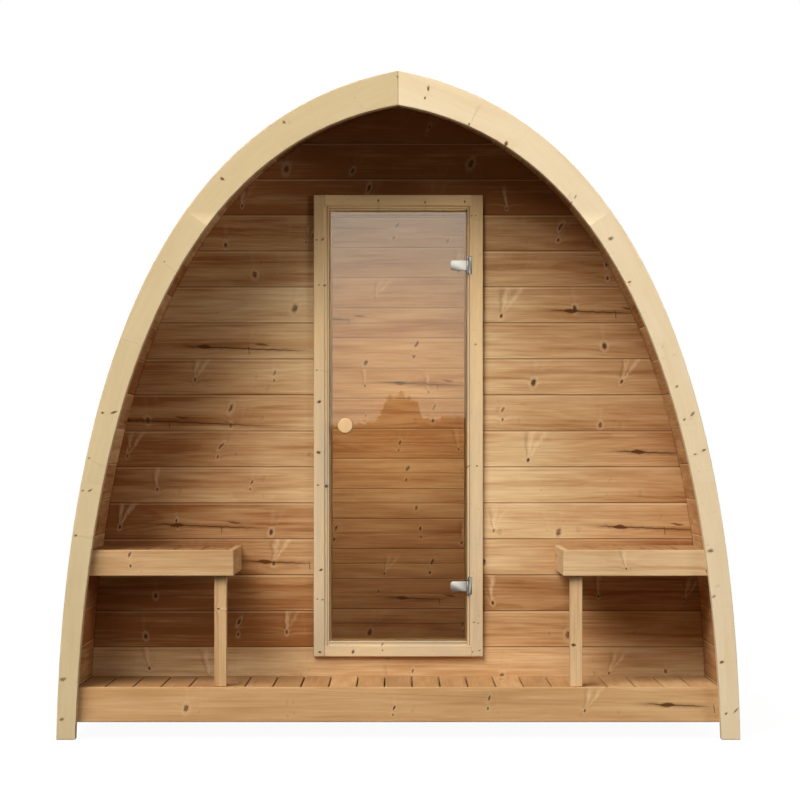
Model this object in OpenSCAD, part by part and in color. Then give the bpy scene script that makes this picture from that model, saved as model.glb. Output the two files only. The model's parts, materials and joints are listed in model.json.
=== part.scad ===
// Garden sauna cabin in the shape of a pointed arch.
// Two timber arches carry a shell of long boards. A plank wall with a glass door
// closes the room, and the open porch in front of it has a deck and two benches.
// Units are millimetres. The cabin faces -Y, and its centre on the ground is the origin.

/* [Cabin] */
// Width over the arch feet
cabin_w = 2430; // [2000:10:2950]
// Height of the ridge above the ground
cabin_h = 2377; // [2200:1:2860]
// Length from the front arch to the rear arch
cabin_l = 2400; // [1900:10:3600]
// How far up the sides keep the direction they start with, as part of the height
side_pull = 0.35; // [0.25:0.01:0.45]
// How far out the crown keeps its slope, as part of the half width
crown_pull = 0.865; // [0.7:0.005:0.95]
// Inward lean of the sides at the ground, in degrees
side_lean = 1.25; // [0:0.25:4]
// Fall of the crown away from the ridge, in degrees
crown_slope = 10.7; // [6:0.1:16]

/* [Arches] */
// Thickness of an arch, front to back
arch_t = 45; // [34:1:60]
// Width of an arch at its foot
arch_foot_w = 67; // [62:1:90]
// Width that steers the lower half of an arch
arch_lower_w = 78; // [66:1:100]
// Width that steers the upper half of an arch
arch_upper_w = 84; // [66:1:120]
// Width of an arch at the ridge
arch_ridge_w = 121; // [80:1:160]

/* [Shell] */
// Thickness of the shell boards
shell_t = 42; // [28:1:45]
// Step from an arch's outer edge in to the shell
shell_inset = 16; // [8:1:20]
// Number of boards from the skirt up to the ridge, on each side
shell_boards = 21; // [18:1:26]

/* [Floor] */
// Height of the deck and of the room's floor above the ground
floor_z = 182; // [160:1:240]
// Height of the skirt's underside above the ground
skirt_z = 58; // [30:1:80]
// Thickness of the deck boards
deck_t = 28; // [20:1:35]
// Thickness of the front skirt board
skirt_t = 28; // [20:1:35]
// Thickness of a joist or a side bearer
joist_t = 45; // [34:1:60]
// Number of joists
joists = 6; // [5:1:9]

/* [Walls] */
// Depth of the porch, from the skirt's face to the wall's face
porch_d = 450; // [380:5:800]
// Thickness of the front and rear walls
wall_t = 42; // [28:1:60]

/* [Door frame] */
// Width over the door frame
frame_w = 634; // [600:2:760]
// Height over the door frame
frame_h = 1728; // [1500:1:1760]
// Step from the deck up to the underside of the frame
frame_lift = 74; // [20:1:90]
// How far the frame stands out from the wall
frame_proud = 22; // [10:1:30]
// How far the frame reaches behind the wall's face
frame_depth = 83; // [60:1:110]
// Width of the frame's face
frame_face_w = 41; // [30:1:50]
// Width of the sunk band beside the face
frame_band_w = 17; // [12:1:24]
// How far the band is sunk below the face
frame_band_drop = 8; // [3:1:10]
// Width of the stop behind the glass
frame_stop_w = 10; // [8:1:14]

/* [Glass door] */
// Thickness of the glass
glass_t = 8; // [6:1:10]
// Gap around the glass and behind it
glass_gap = 5; // [5:0.5:7]
// How far the glass lies below the band's face
glass_drop = 2; // [0:0.5:4]
// Diameter of the knobs
knob_d = 56; // [40:1:70]
// Thickness of a knob
knob_t = 20; // [12:1:28]
// Diameter of the knob's neck
knob_neck_d = 22; // [16:1:28]
// Length of the knob's neck
knob_neck_l = 16; // [10:1:24]
// Diameter of the bolt between the knobs
knob_bolt_d = 8; // [6:1:10]
// Distance from the glass edge to the middle of the knob
knob_in = 56; // [45:1:90]

/* [Hinges] */
// Height of a hinge's clamp
clamp_h = 37; // [30:1:50]
// Length of a clamp in from the hinge pin
clamp_l = 65; // [50:1:80]
// Thickness of a clamp's plate
clamp_t = 5; // [3:0.5:6]
// Rounding of a clamp's free corners
clamp_r = 11; // [4:1:14]
// Diameter of the bolt that goes through the glass
clamp_bolt_d = 10; // [8:1:12]
// Height of a hinge's bracket
bracket_h = 66; // [56:1:90]
// Thickness of the bracket's leaf
leaf_t = 3; // [2:0.5:4]
// Diameter of the hinge knuckles
knuckle_d = 9; // [8:0.5:10]
// Diameter of the hinge pin
pin_d = 5; // [4:0.5:6]
// Radial clearance of the clamp on the pin
pin_clear = 0.05; // [0.02:0.01:0.1]
// End clearance between the knuckles
knuckle_gap = 0.5; // [0.3:0.1:1]
// Distance from the glass's ends to the middle of a hinge
hinge_in = 200; // [150:5:300]

/* [Benches] */
// Height of the seat above the deck
seat_h = 490; // [420:5:520]
// Distance from the cabin's axis to the end of a bench
bench_in = 588; // [520:1:700]
// Height of the bench's fascia
fascia_h = 92; // [70:1:110]
// Thickness of the fascia
fascia_t = 28; // [18:1:35]
// Thickness of the apron on the end of the bench
apron_t = 22; // [18:1:35]
// Width of a seat slat
slat_w = 95; // [80:1:120]
// Gap between seat slats
slat_gap = 5; // [3:1:8]
// Thickness of a seat slat
slat_t = 28; // [20:1:35]
// Thickness of the bearers below the slats
bearer_t = 45; // [34:1:50]
// Side of the square post
post_w = 44; // [34:1:60]
// Distance from the bench's end to the post
post_in = 27; // [0:1:60]

/* [Hidden] */
$fn = 64;

SPRUCE = [0.87, 0.80, 0.66];
THERMO = [0.69, 0.51, 0.35];
DECKING = [0.76, 0.58, 0.40];
FRAME_PINE = [0.80, 0.67, 0.47];
TINTED_GLASS = [0.62, 0.50, 0.40, 0.5];
SATIN_STEEL = [0.80, 0.80, 0.79];
KNOB_WOOD = [0.83, 0.66, 0.46];

LEFT = -1;
RIGHT = 1;

// The outer edge of an arch is one curve from the foot up to the ridge.
half_w = cabin_w / 2;
side_handle = side_pull * cabin_h;
crown_handle = crown_pull * half_w;
side_curve = [
    [half_w, 0],
    [half_w - side_handle * sin(side_lean), side_handle * cos(side_lean)],
    [crown_handle * cos(crown_slope), cabin_h - crown_handle * sin(crown_slope)],
    [0, cabin_h]
];
arch_widths = [arch_foot_w, arch_lower_w, arch_upper_w, arch_ridge_w];
arch_steps = 40;
measure_steps = 120;
stretches = 5;

// Distances along the cabin
front_y = -cabin_l / 2;
porch_y = front_y + arch_t;
deck_y = porch_y + skirt_t;
wall_y = porch_y + porch_d;
room_y = wall_y + wall_t;
rear_y = cabin_l / 2 - arch_t;
rear_wall_y = rear_y - wall_t;

// Heights and depths of the floor
deck_under = floor_z - deck_t;
shell_depth = shell_inset + shell_t;
joist_pitch = (rear_wall_y - joist_t - deck_y) / (joists - 1);

// The frame is three layers, each wider than the one in front of it.
face_w = frame_face_w;
band_w = face_w + frame_band_w;
stop_w = band_w + frame_stop_w;
frame_x = frame_w / 2;
frame_bottom = floor_z + frame_lift;
frame_top = frame_bottom + frame_h;
face_y = wall_y - frame_proud;
band_y = face_y + frame_band_drop;
glass_y = band_y + glass_drop;
stop_y = glass_y + glass_t + glass_gap;
frame_back = wall_y + frame_depth;
FRAME_LAYERS = [[face_y, band_y, face_w], [band_y, stop_y, band_w], [stop_y, frame_back, stop_w]];

// The glass hangs on a pin just in front of its face.
pin_shift = 1;
pin_gap = 1.5;
bolt_clear = 0.5;
overcut = 1;
glass_x = frame_x - band_w - glass_gap;
glass_bottom = frame_bottom + band_w + glass_gap;
glass_top = frame_top - band_w - glass_gap;
pin_x = frame_x - band_w + pin_shift;
pin_y = glass_y - knuckle_d / 2 - pin_gap;
hinge_heights = [glass_bottom + hinge_in, glass_top - hinge_in];
clamp_x = pin_x - clamp_l;
clamp_bolt_x = clamp_x + clamp_l / 2;
rear_plate_x = frame_x - stop_w - glass_gap;
pocket_y = band_y + leaf_t * 2;
knob_x = glass_gap - frame_x + band_w + knob_in;
knob_z = (glass_bottom + glass_top) / 2;

// Heights of a bench
seat_z = floor_z + seat_h;
slat_under = seat_z - slat_t;
bench_under = seat_z - fascia_h;
slat_pitch = slat_w + slat_gap;
first_slat = bench_in + apron_t;
narrowest_slat = 20;

// --- The curve of the arches -------------------------------------------------------

function curve_point(t) =
    pow(1 - t, 3) * side_curve[0] + 3 * pow(1 - t, 2) * t * side_curve[1]
    + 3 * (1 - t) * t * t * side_curve[2] + pow(t, 3) * side_curve[3];

function curve_direction(t) =
    pow(1 - t, 2) * (side_curve[1] - side_curve[0])
    + 2 * (1 - t) * t * (side_curve[2] - side_curve[1])
    + t * t * (side_curve[3] - side_curve[2]);

// A point square to the curve, the given depth inside it
function inside_point(t, depth) =
    let (d = curve_direction(t))
    curve_point(t) + depth * [-d[1], d[0]] / norm(d);

function blend(values, t) =
    pow(1 - t, 3) * values[0] + 3 * pow(1 - t, 2) * t * values[1]
    + 3 * (1 - t) * t * t * values[2] + pow(t, 3) * values[3];

// Pairs of length along the shell's outer face and place on the curve
shell_lengths = [
    for (
        k = 0, s = 0;
        k <= measure_steps;
        k = k + 1,
        s = s + norm(inside_point(k / measure_steps, shell_inset)
                     - inside_point((k - 1) / measure_steps, shell_inset))
    )
    [s, k / measure_steps]
];
shell_length = shell_lengths[measure_steps][0];

// The corners between shell boards, counted up from the skirt
function board_corner(i, depth) =
    inside_point(lookup(skirt_z + (shell_length - skirt_z) * i / shell_boards, shell_lengths), depth);

// The point where the line from a to b crosses the cabin's axis
function axis_point(a, b) = a + (b - a) * a[0] / (a[0] - b[0]);

// The points on this side of the axis, and then the one on it
function up_to_axis(points) =
    let (kept = [for (p = points) if (p[0] > 0) p])
    concat(kept, [axis_point(kept[len(kept) - 1], points[len(kept)])]);

function reversed(points) = [for (i = [len(points) - 1 : -1 : 0]) points[i]];
function mirrored(points) = [for (p = reversed(points)) [-p[0], p[1]]];
function part_of(points, first, last) =
    [for (i = [first : last]) points[min(i, len(points) - 1)]];

arch_outer = [for (i = [0 : arch_steps]) curve_point(i / arch_steps)];
arch_inner = concat(
    [[half_w - arch_foot_w, 0]],
    up_to_axis([for (i = [1 : arch_steps]) inside_point(i / arch_steps, blend(arch_widths, i / arch_steps))])
);
shell_outer = up_to_axis([for (i = [0 : shell_boards]) board_corner(i, shell_inset)]);
shell_inner = up_to_axis([for (i = [0 : shell_boards]) board_corner(i, shell_depth)]);
inside_outline = concat(part_of(shell_inner, 0, len(shell_inner) - 2), mirrored(shell_inner));

// Distance from the cabin's axis to the shell's inner face, at a height
function half_inside(z) = lookup(z, [for (p = shell_inner) [p[1], p[0]]]);

// The boards at which the shell's stretches begin and end
SHELL_STRETCHES = [for (i = [0 : stretches]) round(shell_boards * i / stretches)];

// --- Helpers -----------------------------------------------------------------------

// A flat outline across the cabin, drawn from y0 to y1
module across(y0, y1) {
    translate([0, y1, 0]) rotate([90, 0, 0]) linear_extrude(y1 - y0) children();
}

module block(x0, x1, y0, y1, z0, z1) {
    translate([x0, y0, z0]) cube([x1 - x0, y1 - y0, z1 - z0]);
}

// What lies inside the shell between the given planes
module inside_block(x0, x1, y0, y1, z0, z1) {
    across(y0, y1) intersection() {
        polygon(inside_outline);
        translate([x0, z0]) square([x1 - x0, z1 - z0]);
    }
}

// Draws on the right as written, and on the left as its mirror image
module on_side(side) {
    mirror([side == LEFT ? 1 : 0, 0, 0]) children();
}

// --- Arches and shell --------------------------------------------------------------

module half_arch(side, y) {
    color(SPRUCE) on_side(side) across(y, y + arch_t) polygon(concat(arch_outer, reversed(arch_inner)));
}

module front_arch(side) {
    half_arch(side, front_y);
}

module rear_arch(side) {
    half_arch(side, rear_y);
}

module shell(side, stretch) {
    first = SHELL_STRETCHES[stretch - 1];
    last = SHELL_STRETCHES[stretch];
    color(THERMO) on_side(side) across(porch_y, rear_y)
        polygon(concat(part_of(shell_outer, first, last), reversed(part_of(shell_inner, first, last))));
}

// --- Floor -------------------------------------------------------------------------

module front_skirt() {
    color(DECKING) inside_block(-half_w, half_w, porch_y, deck_y, skirt_z, floor_z);
}

module rear_skirt() {
    color(THERMO) inside_block(-half_w, half_w, rear_wall_y, rear_y, skirt_z, deck_under);
}

bearer_x = half_inside(deck_under) - joist_t;

module side_bearer(side) {
    color(DECKING) on_side(side) inside_block(bearer_x, half_w, deck_y, rear_wall_y, skirt_z, deck_under);
}

module floor_joists() {
    color(DECKING) for (i = [0 : joists - 1]) translate([0, deck_y + i * joist_pitch, 0])
        block(-bearer_x, bearer_x, 0, joist_t, skirt_z, deck_under);
}

module porch_floor() {
    color(DECKING) inside_block(-half_w, half_w, deck_y, wall_y, deck_under, floor_z);
}

module room_floor() {
    color(DECKING) inside_block(-half_w, half_w, room_y, rear_wall_y, deck_under, floor_z);
}

// --- Walls -------------------------------------------------------------------------

module front_wall_beside(side) {
    color(THERMO) on_side(side) inside_block(frame_x, half_w, wall_y, room_y, deck_under, cabin_h);
}

module front_wall_over_door() {
    color(THERMO) inside_block(-frame_x, frame_x, wall_y, room_y, frame_top, cabin_h);
}

module front_wall_under_door() {
    color(THERMO) block(-frame_x, frame_x, wall_y, room_y, deck_under, frame_bottom);
}

module rear_wall() {
    color(THERMO) inside_block(-half_w, half_w, rear_wall_y, rear_y, deck_under, cabin_h);
}

// --- Door frame --------------------------------------------------------------------

// The upright's layers, drawn for the right side
module jamb_layers() {
    for (layer = FRAME_LAYERS)
        block(frame_x - layer[2], frame_x, layer[0], layer[1], frame_bottom, frame_top);
}

module door_jamb(side) {
    color(FRAME_PINE) on_side(side) jamb_layers();
}

// The hinge side has a pocket cut in its band for each hinge.
module door_jamb_right() {
    color(FRAME_PINE) difference() {
        jamb_layers();
        for (z = hinge_heights)
            block(frame_x - band_w - overcut, frame_x - face_w, band_y - overcut, pocket_y,
                  z - bracket_h / 2, z + bracket_h / 2);
    }
}

// A cross piece of the frame fits between the uprights, layer by layer.
module cross_piece(z_outer, direction) {
    color(FRAME_PINE) for (layer = FRAME_LAYERS) {
        z_inner = z_outer + direction * layer[2];
        block(layer[2] - frame_x, frame_x - layer[2], layer[0], layer[1],
              min(z_outer, z_inner), max(z_outer, z_inner));
    }
}

module door_head() {
    cross_piece(frame_top, -1);
}

module door_threshold() {
    cross_piece(frame_bottom, 1);
}

// --- Glass door and hinges ---------------------------------------------------------

module upright_round(d, z0, z1) {
    translate([pin_x, pin_y, z0]) cylinder(d = d, h = z1 - z0);
}

module through_round(x, z, d, y0, y1) {
    translate([x, y1, z]) rotate([90, 0, 0]) cylinder(d = d, h = y1 - y0);
}

module bolt_hole(x, z, bolt_d) {
    through_round(x, z, bolt_d + 2 * bolt_clear, glass_y - overcut, glass_y + glass_t + overcut);
}

module door_glass() {
    color(TINTED_GLASS) difference() {
        block(-glass_x, glass_x, glass_y, glass_y + glass_t, glass_bottom, glass_top);
        bolt_hole(knob_x, knob_z, knob_bolt_d);
        for (z = hinge_heights) bolt_hole(clamp_bolt_x, z, clamp_bolt_d);
    }
}

// A plate in front of or behind the glass, with its two free corners rounded
module clamp_plate(x1, y0) {
    across(y0, y0 + clamp_t) union() {
        for (z = [clamp_r - clamp_h / 2, clamp_h / 2 - clamp_r])
            translate([clamp_x + clamp_r, z]) circle(r = clamp_r);
        translate([clamp_x, clamp_r - clamp_h / 2]) square([clamp_r, clamp_h - 2 * clamp_r]);
        translate([clamp_x + clamp_r, -clamp_h / 2]) square([x1 - clamp_x - clamp_r, clamp_h]);
    }
}

module hinge_clamp() {
    difference() {
        union() {
            clamp_plate(pin_x, glass_y - clamp_t);
            clamp_plate(rear_plate_x, glass_y + glass_t);
            through_round(clamp_bolt_x, 0, clamp_bolt_d, glass_y - clamp_t, glass_y + glass_t + clamp_t);
            upright_round(knuckle_d, -clamp_h / 2, clamp_h / 2);
        }
        upright_round(pin_d + 2 * pin_clear, -clamp_h, clamp_h);
    }
}

module hinge_clamps() {
    color(SATIN_STEEL) for (z = hinge_heights) translate([0, 0, z]) hinge_clamp();
}

// A leaf in the frame's pocket, and the knuckles and the pin that it carries
module hinge_bracket() {
    knuckle_z = clamp_h / 2 + knuckle_gap;
    block(frame_x - band_w, frame_x - face_w, pocket_y - leaf_t, pocket_y, -bracket_h / 2, bracket_h / 2);
    upright_round(pin_d, -bracket_h / 2, bracket_h / 2);
    for (end = [-1, 1]) {
        z0 = min(end * knuckle_z, end * bracket_h / 2);
        z1 = max(end * knuckle_z, end * bracket_h / 2);
        upright_round(knuckle_d, z0, z1);
        block(frame_x - band_w, pin_x + knuckle_d / 2, pin_y, pocket_y, z0, z1);
    }
}

module hinge_brackets() {
    color(SATIN_STEEL) for (z = hinge_heights) translate([0, 0, z]) hinge_bracket();
}

// One knob on each face of the glass, on a common bolt
module door_knobs() {
    edge_r = knob_t / 4;
    color(KNOB_WOOD) {
        through_round(knob_x, knob_z, knob_bolt_d, glass_y - overcut, glass_y + glass_t + overcut);
        for (face = [0, 1]) translate([knob_x, glass_y + face * glass_t, knob_z])
            rotate([face == 0 ? 90 : -90, 0, 0]) rotate_extrude() union() {
                square([knob_neck_d / 2, knob_neck_l + edge_r]);
                translate([0, knob_neck_l]) square([knob_d / 2 - edge_r, knob_t]);
                translate([0, knob_neck_l + edge_r]) square([knob_d / 2, knob_t - 2 * edge_r]);
                for (y = [edge_r, knob_t - edge_r])
                    translate([knob_d / 2 - edge_r, knob_neck_l + y]) circle(r = edge_r);
            }
    }
}

// --- Benches -----------------------------------------------------------------------

slats = ceil((half_inside(seat_z) - first_slat - narrowest_slat) / slat_pitch);

module bench_seat(side) {
    color(DECKING) on_side(side) for (i = [0 : slats - 1])
        inside_block(first_slat + i * slat_pitch, first_slat + i * slat_pitch + slat_w,
                     porch_y + fascia_t, wall_y, slat_under, seat_z);
}

module bench_fascia(side) {
    color(DECKING) on_side(side)
        inside_block(bench_in, half_w, porch_y, porch_y + fascia_t, bench_under, seat_z);
}

module bench_apron(side) {
    color(DECKING) on_side(side)
        block(bench_in, first_slat, porch_y + fascia_t, wall_y, bench_under, seat_z);
}

// One bearer behind the fascia and one along the wall
module bench_bearers(side) {
    color(DECKING) on_side(side) for (y = [porch_y + fascia_t, wall_y - bearer_t])
        inside_block(first_slat, half_w, y, y + bearer_t, bench_under, slat_under);
}

module bench_post(side) {
    color(DECKING) on_side(side)
        block(bench_in + post_in, bench_in + post_in + post_w, porch_y + fascia_t,
              porch_y + fascia_t + post_w, floor_z, bench_under);
}

front_arch(LEFT);  // front_arch_left
front_arch(RIGHT);  // front_arch_right
rear_arch(LEFT);  // rear_arch_left
rear_arch(RIGHT);  // rear_arch_right
shell(LEFT, 1);  // shell_left_1
shell(LEFT, 2);  // shell_left_2
shell(LEFT, 3);  // shell_left_3
shell(LEFT, 4);  // shell_left_4
shell(LEFT, 5);  // shell_left_5
shell(RIGHT, 1);  // shell_right_1
shell(RIGHT, 2);  // shell_right_2
shell(RIGHT, 3);  // shell_right_3
shell(RIGHT, 4);  // shell_right_4
shell(RIGHT, 5);  // shell_right_5
front_skirt();
rear_skirt();
side_bearer(LEFT);  // side_bearer_left
side_bearer(RIGHT);  // side_bearer_right
floor_joists();
porch_floor();
room_floor();
front_wall_beside(LEFT);  // front_wall_left
front_wall_beside(RIGHT);  // front_wall_right
front_wall_over_door();
front_wall_under_door();
rear_wall();
door_jamb(LEFT);  // door_jamb_left
door_jamb_right();
door_head();
door_threshold();
hinge_brackets();
door_glass();
hinge_clamps();
door_knobs();
bench_seat(LEFT);  // bench_seat_left
bench_fascia(LEFT);  // bench_fascia_left
bench_apron(LEFT);  // bench_apron_left
bench_bearers(LEFT);  // bench_bearers_left
bench_post(LEFT);  // bench_post_left
bench_seat(RIGHT);  // bench_seat_right
bench_fascia(RIGHT);  // bench_fascia_right
bench_apron(RIGHT);  // bench_apron_right
bench_bearers(RIGHT);  // bench_bearers_right
bench_post(RIGHT);  // bench_post_right
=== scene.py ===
"""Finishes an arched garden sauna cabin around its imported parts.

The boards are cut out of the cabin's own solids, so they lie exactly where the carpentry says.
Lengths are metres, the cabin faces -Y, and the ground under its middle is the origin.
"""

import json
import math
import random
from contextlib import contextmanager

import bpy
import numpy as np
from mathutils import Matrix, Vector

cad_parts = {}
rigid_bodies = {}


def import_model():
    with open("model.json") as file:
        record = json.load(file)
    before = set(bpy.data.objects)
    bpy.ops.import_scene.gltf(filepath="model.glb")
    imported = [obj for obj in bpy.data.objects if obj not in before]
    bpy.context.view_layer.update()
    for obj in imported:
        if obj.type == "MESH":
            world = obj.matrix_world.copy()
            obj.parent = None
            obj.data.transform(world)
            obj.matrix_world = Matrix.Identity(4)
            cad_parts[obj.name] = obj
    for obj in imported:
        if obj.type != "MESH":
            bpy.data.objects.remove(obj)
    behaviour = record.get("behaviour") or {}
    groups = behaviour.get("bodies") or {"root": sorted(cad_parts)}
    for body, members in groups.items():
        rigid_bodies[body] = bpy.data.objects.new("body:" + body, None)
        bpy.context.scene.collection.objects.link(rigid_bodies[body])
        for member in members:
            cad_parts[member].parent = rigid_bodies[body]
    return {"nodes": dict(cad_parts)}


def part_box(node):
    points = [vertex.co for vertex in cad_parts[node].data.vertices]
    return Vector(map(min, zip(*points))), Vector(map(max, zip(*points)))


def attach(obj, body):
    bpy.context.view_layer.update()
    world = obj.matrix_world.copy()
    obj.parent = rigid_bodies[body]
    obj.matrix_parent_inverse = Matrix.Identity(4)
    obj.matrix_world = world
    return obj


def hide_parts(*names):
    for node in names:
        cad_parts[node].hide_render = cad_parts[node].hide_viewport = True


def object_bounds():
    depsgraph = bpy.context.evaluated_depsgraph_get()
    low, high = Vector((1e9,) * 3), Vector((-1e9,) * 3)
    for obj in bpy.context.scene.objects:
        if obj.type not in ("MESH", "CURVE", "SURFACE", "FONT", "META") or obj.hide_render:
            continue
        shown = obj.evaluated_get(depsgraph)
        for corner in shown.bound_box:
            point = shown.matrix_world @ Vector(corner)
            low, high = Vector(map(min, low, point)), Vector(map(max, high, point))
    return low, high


bl_info = {
    "name": "Arched sauna cabin",
    "version": (1, 0, 0),
    "blender": (4, 5, 0),
    "location": "View3D > Sidebar > Cabin",
    "description": "Boards, glass door, benches and wood finishes of an arched sauna cabin",
    "category": "Object",
}

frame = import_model()
CAD_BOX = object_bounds()

X = Vector((1, 0, 0))
Y = Vector((0, 1, 0))
Z = Vector((0, 0, 1))

SIDES = {"left": -1, "right": 1}
# The shell's numbered stretches on each side
STRETCHES = range(1, 6)
# Distance below which two vertices are one
MERGE = 1e-5
# Faces that turn by less than FLAT become one, and surfaces that turn by less than CURVED look smooth.
# Edges that turn by more than SHARP are beveled, or by more than BUTT at an arch's joints.
FLAT = math.radians(0.2)
CURVED = math.radians(20)
SHARP = math.radians(30)
BUTT = math.radians(70)
# Places taken from the carpentry: the deck's top, the front wall's face, the benches' lower edge and
# the doorway's opposite corners
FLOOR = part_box("porch_floor")[1].z
WALL_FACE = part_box("front_wall_left")[0].y
BENCH_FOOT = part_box("bench_fascia_left")[0].z
DOORWAY = (
    Vector((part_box("door_jamb_left")[0].x, WALL_FACE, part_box("door_threshold")[0].z)),
    Vector((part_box("door_jamb_right")[1].x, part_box("front_wall_left")[1].y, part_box("door_head")[1].z)),
)

draw = random.Random(11)


# --- What a user can change -------------------------------------------------------------


def length_setting(name, description, default):
    return bpy.props.FloatProperty(
        name=name, description=description, default=default, min=0, subtype="DISTANCE", unit="LENGTH"
    )


def colour_setting(name, description, *default):
    return bpy.props.FloatVectorProperty(
        name=name, description=description, default=default, size=3, min=0, max=1, subtype="COLOR"
    )


class CabinSizes(bpy.types.PropertyGroup):
    wall_board: length_setting("Wall board", "Height that each board of a wall covers", 0.135)
    front_start: length_setting("First front joint", "The front wall's first joint above the floor", 0.109)
    rear_start: length_setting("First rear joint", "The rear wall's first joint above the floor", 0.135)
    deck_board: length_setting("Deck board", "Distance from one deck board to the next", 0.100)
    deck_gap: length_setting("Deck gap", "Gap between two deck boards", 0.005)
    joint_bevel: length_setting("Joint bevel", "Bevel on the long edges of tongued boards", 0.0022)
    groove: length_setting("Groove", "Half the width of the groove along a rear board", 0.004)
    edge: length_setting("Planed edge", "Rounding on the edges of planed timber", 0.003)
    arch_joint: length_setting("Arch joint", "Bevel at the joints in an arch", 0.0006)
    glass_edge: length_setting("Glass edge", "Ground bevel around the glass", 0.001)
    metal_edge: length_setting("Metal edge", "Rounding on the edges of the hinges", 0.0022)


class CabinColours(bpy.types.PropertyGroup):
    arch_pale: colour_setting("Arch, pale", "Early wood of the arches", 0.78, 0.67, 0.49)
    arch_deep: colour_setting("Arch, deep", "Late wood of the arches", 0.53, 0.405, 0.225)
    wall_pale: colour_setting("Wall, pale", "Palest wood of the walls and the shell", 0.70, 0.487, 0.258)
    wall_deep: colour_setting("Wall, deep", "Deepest wood of the walls and the shell", 0.28, 0.105, 0.032)
    deck_pale: colour_setting("Deck, pale", "Palest wood of the floor and the skirts", 0.62, 0.39, 0.19)
    deck_deep: colour_setting("Deck, deep", "Deepest wood of the floor and the skirts", 0.36, 0.19, 0.08)
    bench_pale: colour_setting("Bench, pale", "Palest wood of the benches", 0.70, 0.49, 0.27)
    # Dark enough that the left seat, which is deepest, shows painted shade.
    bench_deep: colour_setting("Bench, deep", "Deepest wood of the benches", 0.26, 0.12, 0.045)
    frame_pale: colour_setting("Door frame, pale", "Early wood of the door frame", 0.96, 0.68, 0.34)
    frame_deep: colour_setting("Door frame, deep", "Late wood of the door frame", 0.54, 0.42, 0.27)
    knob_pale: colour_setting("Knob, pale", "Early wood of the knobs", 0.76, 0.53, 0.30)
    knob_deep: colour_setting("Knob, deep", "Late wood of the knobs", 0.60, 0.38, 0.19)
    # This colour also paints the shade and dirt in board joints, and the frame's painted shadow line.
    knot: colour_setting("Knots", "Heart of a knot and depth of a drying crack", 0.088, 0.030, 0.006)
    # This colour is also the painted highlight beside the upper bevel of a board.
    resin: colour_setting("Pale figure", "Pale figure that fans out of a knot", 0.80, 0.58, 0.34)
    glass: colour_setting("Glass", "Tint of the glass", 0.75, 0.59, 0.43)
    steel: colour_setting("Clamps", "Satin chrome of the clamps on the glass", 0.36, 0.345, 0.335)
    # The brackets' chrome is darker than the clamps', as painted shade of the frame's rebate they sit in.
    bracket: colour_setting("Brackets", "Duller chrome of the brackets on the frame", 0.27, 0.255, 0.245)


def sizes():
    return bpy.context.scene.cabin_sizes


def colours():
    return bpy.context.scene.cabin_colours


# --- Shaping pieces ---------------------------------------------------------------------


def pick(*pieces):
    """Selects these pieces and nothing else."""
    bpy.ops.object.select_all(action="DESELECT")
    for piece in pieces:
        piece.select_set(True)
    bpy.context.view_layer.objects.active = pieces[0]


@contextmanager
def editing(piece):
    """Opens the piece in edit mode with all of it selected."""
    pick(piece)
    bpy.ops.object.mode_set(mode="EDIT")
    bpy.ops.mesh.select_all(action="SELECT")
    yield
    bpy.ops.object.mode_set(mode="OBJECT")


def rename(piece, name):
    piece.name = piece.data.name = name
    return piece


def copy_of(source, name="copy"):
    """A copy with its own mesh, its doubles merged and its flat faces made whole."""
    pick(source)
    bpy.ops.object.duplicate()
    piece = bpy.context.object
    bpy.ops.object.parent_clear(type="CLEAR")
    for mark in [key for key in piece.keys() if key.startswith("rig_")]:
        del piece[mark]
    with editing(piece):
        bpy.ops.mesh.remove_doubles(threshold=MERGE)
        bpy.ops.mesh.dissolve_limited(angle_limit=FLAT)
    return rename(piece, name)


def trim(piece, *planes):
    """Keeps what lies on the side of each plane that its normal points to."""
    with editing(piece):
        for point, normal in planes:
            bpy.ops.mesh.select_all(action="SELECT")
            bpy.ops.mesh.bisect(plane_co=point, plane_no=normal, use_fill=True, clear_inner=True)
    return piece


def cut_between(source, *planes):
    """A trimmed copy of the source, or None where nothing is left of it."""
    piece = trim(copy_of(source), *planes)
    if piece.data.polygons:
        return piece
    bpy.data.objects.remove(piece)
    return None


def loose_parts(piece):
    pick(piece)
    bpy.ops.mesh.separate(type="LOOSE")
    return sorted(bpy.context.selected_objects, key=lambda part: tuple(middle(part)))


def joined(pieces, name):
    pick(*pieces)
    if len(pieces) > 1:
        bpy.ops.object.join()
    return rename(bpy.context.object, name)


def remove(piece):
    bpy.data.objects.remove(piece)


def soften(piece, width, segments=1, angle=SHARP):
    """Bevels every edge that turns by more than the angle."""
    with editing(piece):
        bpy.ops.mesh.normals_make_consistent(inside=False)
    bpy.ops.object.modifier_add(type="BEVEL")
    bevel = piece.modifiers[-1]
    bevel.width = width
    bevel.segments = segments
    bevel.limit_method = "ANGLE"
    bevel.angle_limit = angle
    bpy.ops.object.modifier_apply(modifier=bevel.name)


def smooth(piece):
    pick(piece)
    bpy.ops.object.shade_smooth_by_angle(angle=CURVED)


def corners(piece):
    """The places of the piece's vertices, as rows of numbers."""
    places = np.empty(len(piece.data.vertices) * 3)
    piece.data.vertices.foreach_get("co", places)
    return places.reshape(-1, 3)


def middle(piece):
    places = corners(piece)
    return Vector((places.min(0) + places.max(0)) / 2)


def store(piece, name, rows):
    """Keeps three numbers at each vertex, for the materials to read."""
    attribute = piece.data.attributes.new(name, "FLOAT_VECTOR", "POINT")
    attribute.data.foreach_set("vector", np.ascontiguousarray(rows, dtype=np.float32).ravel())


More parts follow.
